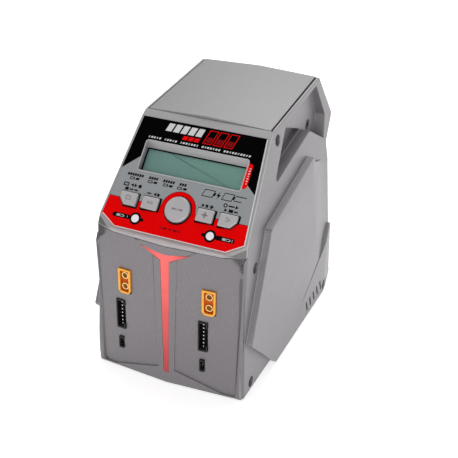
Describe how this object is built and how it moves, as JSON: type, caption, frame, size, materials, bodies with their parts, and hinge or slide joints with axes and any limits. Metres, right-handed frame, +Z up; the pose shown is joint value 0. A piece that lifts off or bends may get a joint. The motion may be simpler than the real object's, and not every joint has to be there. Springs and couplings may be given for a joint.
{
  "type": "battery charger",
  "caption": "Upright desktop charger for model batteries, with a sloping control panel, display, push keys, front charge sockets, a carrying recess in each side and a rear fan.",
  "frame": {"origin": "middle of the footprint, on the surface that the feet stand on", "axes": "+Z up, +X to the right seen from the front, +Y from the front to the rear"},
  "size_m": [0.1052, 0.1539, 0.1536],
  "materials": {
    "case_shell": "satin metallic paint",
    "front_shell": "satin metallic paint",
    "light_bar": "red translucent",
    "bezel_shell": "satin metallic paint",
    "overlay": "glossy printed sheet",
    "top_shell": "satin metallic paint",
    "rear_sheet": "powder coat",
    "base_sheet": "powder coat",
    "foot_rubber": "soft matt",
    "post_metal": "turned",
    "screw_steel": "blackened",
    "key_plastic": "satin metallic paint",
    "led_lens": "diffusing",
    "display_glass": "clear over a grey-green panel",
    "black_plastic": "matt",
    "circuit_board": "solder mask",
    "amber_plastic": "nylon",
    "contact_brass": "gold plated",
    "socket_plastic": "moulded",
    "pin_metal": "tinned",
    "ferrite": "sintered",
    "copper": "enamelled",
    "capacitor": "sleeved",
    "heatsink_metal": "extruded",
    "fan_plastic": "moulded",
    "guard_steel": "bright wire",
    "ribbon": "flat cable"
  },
  "bodies": {
    "case": {"right_side_cover": "case_shell", "left_side_cover": "case_shell", "front_panel": "front_shell", "light_bar": "light_bar", "control_bezel": "bezel_shell", "panel_overlay": "overlay", "top_cover": "top_shell", "rear_hood": "top_shell", "rear_panel": "rear_sheet", "base_plate": "base_sheet", "rubber_feet": "foot_rubber", "tie_posts": "post_metal", "cover_screws": "screw_steel", "left_led_lens": "led_lens", "right_led_lens": "led_lens", "display_lens": "display_glass", "display_module": "black_plastic", "display_board": "circuit_board", "control_board": "circuit_board", "tact_switches": "black_plastic", "status_leds": "led_lens", "left_output_socket": "amber_plastic", "right_output_socket": "amber_plastic", "output_contacts": "contact_brass", "left_balance_socket": "socket_plastic", "right_balance_socket": "socket_plastic", "balance_pins": "pin_metal", "left_sensor_socket": "socket_plastic", "right_sensor_socket": "socket_plastic", "sensor_pins": "pin_metal", "socket_board": "circuit_board", "main_board": "circuit_board", "board_screws": "screw_steel", "transformer_core": "ferrite", "transformer_winding": "copper", "filter_capacitors": "capacitor", "output_chokes": "copper", "left_heatsink": "heatsink_metal", "right_heatsink": "heatsink_metal", "power_transistors": "black_plastic", "fan_frame": "fan_plastic", "fan_guard": "guard_steel", "fan_screws": "screw_steel", "mains_inlet": "socket_plastic", "mains_pins": "pin_metal", "supply_inlet": "amber_plastic", "supply_pins": "contact_brass", "ribbon_cable": "ribbon"},
    "select_button_key": {"select_button": "key_plastic"},
    "minus_button_key": {"minus_button": "key_plastic"},
    "channel_button_key": {"channel_button": "key_plastic"},
    "plus_button_key": {"plus_button": "key_plastic"},
    "enter_button_key": {"enter_button": "key_plastic"},
    "fan": {"fan_rotor": "fan_plastic"}
  },
  "joints": [
    {"name": "select_press", "type": "slide", "parent": "case", "child": "select_button_key", "axis": [0, 0.7071, -0.7071], "range_m": [0, 0.0008], "stiffness_N_per_m": 1000, "springref_m": -0.0003},
    {"name": "minus_press", "type": "slide", "parent": "case", "child": "minus_button_key", "axis": [0, 0.7071, -0.7071], "range_m": [0, 0.0008], "stiffness_N_per_m": 1000, "springref_m": -0.0003},
    {"name": "channel_press", "type": "slide", "parent": "case", "child": "channel_button_key", "axis": [0, 0.7071, -0.7071], "range_m": [0, 0.0008], "stiffness_N_per_m": 1000, "springref_m": -0.0003},
    {"name": "plus_press", "type": "slide", "parent": "case", "child": "plus_button_key", "axis": [0, 0.7071, -0.7071], "range_m": [0, 0.0008], "stiffness_N_per_m": 1000, "springref_m": -0.0003},
    {"name": "enter_press", "type": "slide", "parent": "case", "child": "enter_button_key", "axis": [0, 0.7071, -0.7071], "range_m": [0, 0.0008], "stiffness_N_per_m": 1000, "springref_m": -0.0003},
    {"name": "fan_spin", "type": "hinge", "parent": "case", "child": "fan", "pos_m": [0, 0.0532, 0.072], "axis": [0, 1, 0], "continuous": true}
  ]
}
